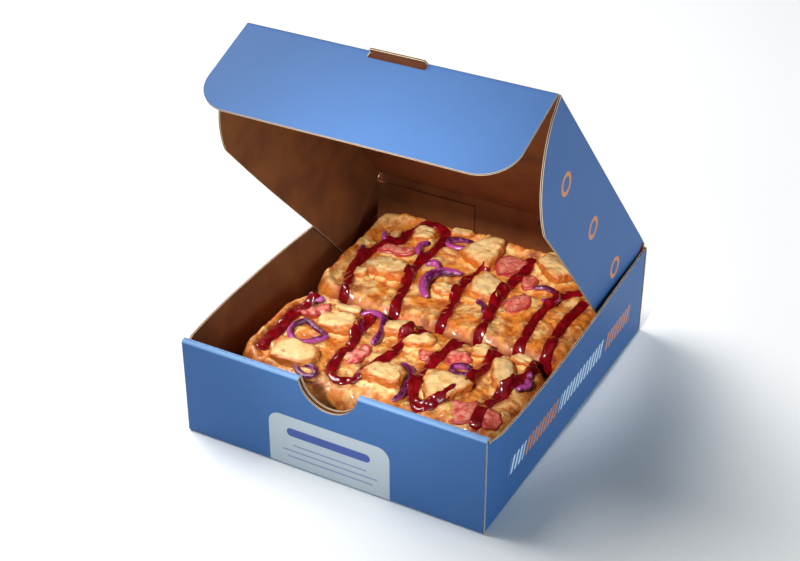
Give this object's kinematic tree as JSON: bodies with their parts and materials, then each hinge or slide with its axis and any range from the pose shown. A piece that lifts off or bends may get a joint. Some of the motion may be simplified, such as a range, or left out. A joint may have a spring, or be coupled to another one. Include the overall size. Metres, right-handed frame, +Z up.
{
  "type": "pizza in a box",
  "caption": "Square-cut pizza with chicken, ham, red onion and poured sauce, in an open corrugated cardboard box with a hinged lid and tuck flap.",
  "frame": {"origin": "centre of the tray's underside", "axes": "+Z up, -Y out of the front wall with the thumb notch, +X to the right seen from the front"},
  "size_m": [0.2616, 0.293, 0.301],
  "materials": {
    "board": "blue print outside, plain brown kraft inside",
    "crust": "baked dough and melted cheese under strands of dark red sauce",
    "chicken": "pale cooked meat with browned sides",
    "ham": "moist pink slices with a redder rim",
    "onion": "glossy purple strips"
  },
  "bodies": {
    "box": {"tray": "board", "front_slab": "crust", "rear_slab": "crust", "chicken_1": "chicken", "chicken_2": "chicken", "chicken_3": "chicken", "chicken_4": "chicken", "chicken_5": "chicken", "chicken_6": "chicken", "chicken_7": "chicken", "chicken_8": "chicken", "chicken_9": "chicken", "chicken_10": "chicken", "chicken_11": "chicken", "chicken_12": "chicken", "chicken_13": "chicken", "chicken_14": "chicken", "chicken_15": "chicken", "chicken_16": "chicken", "chicken_17": "chicken", "chicken_18": "chicken", "ham_1": "ham", "ham_2": "ham", "ham_3": "ham", "ham_4": "ham", "ham_5": "ham", "ham_6": "ham", "ham_7": "ham", "ham_8": "ham", "ham_9": "ham", "ham_10": "ham", "onion_1": "onion", "onion_2": "onion", "onion_3": "onion", "onion_4": "onion", "onion_5": "onion", "onion_6": "onion", "onion_7": "onion", "onion_8": "onion", "onion_9": "onion", "onion_10": "onion", "onion_11": "onion", "onion_12": "onion", "onion_13": "onion", "onion_14": "onion", "onion_15": "onion", "onion_16": "onion"},
    "lid": {"lid_panel": "board"},
    "tuck": {"tuck_flap": "board"},
    "left_side": {"left_flap": "board"},
    "right_side": {"right_flap": "board"}
  },
  "joints": [
    {"name": "lid_hinge", "type": "hinge", "parent": "box", "child": "lid", "pos_m": [0, 0.1457, 0.0841], "axis": [-1, 0, 0], "range_deg": [-47.75, 62]},
    {"name": "tuck_fold", "type": "hinge", "parent": "lid", "child": "tuck", "pos_m": [0, -0.04606, 0.29521], "axis": [-1, 0, 0], "range_deg": [-44.5, 57.8]},
    {"name": "left_fold", "type": "hinge", "parent": "lid", "child": "left_side", "pos_m": [-0.1213, 0.04915, 0.1904], "axis": [0, 0.6724, -0.7402], "range_deg": [-6.6, 8.6]},
    {"name": "right_fold", "type": "hinge", "parent": "lid", "child": "right_side", "pos_m": [0.1213, 0.04915, 0.1904], "axis": [0, -0.6724, 0.7402], "range_deg": [-2.5, 3.2]}
  ],
  "couplings": [
    {"joint": "tuck_fold", "follows": "lid_hinge", "ratio": 0.93},
    {"joint": "left_fold", "follows": "lid_hinge", "ratio": 0.137},
    {"joint": "right_fold", "follows": "lid_hinge", "ratio": 0.05}
  ]
}
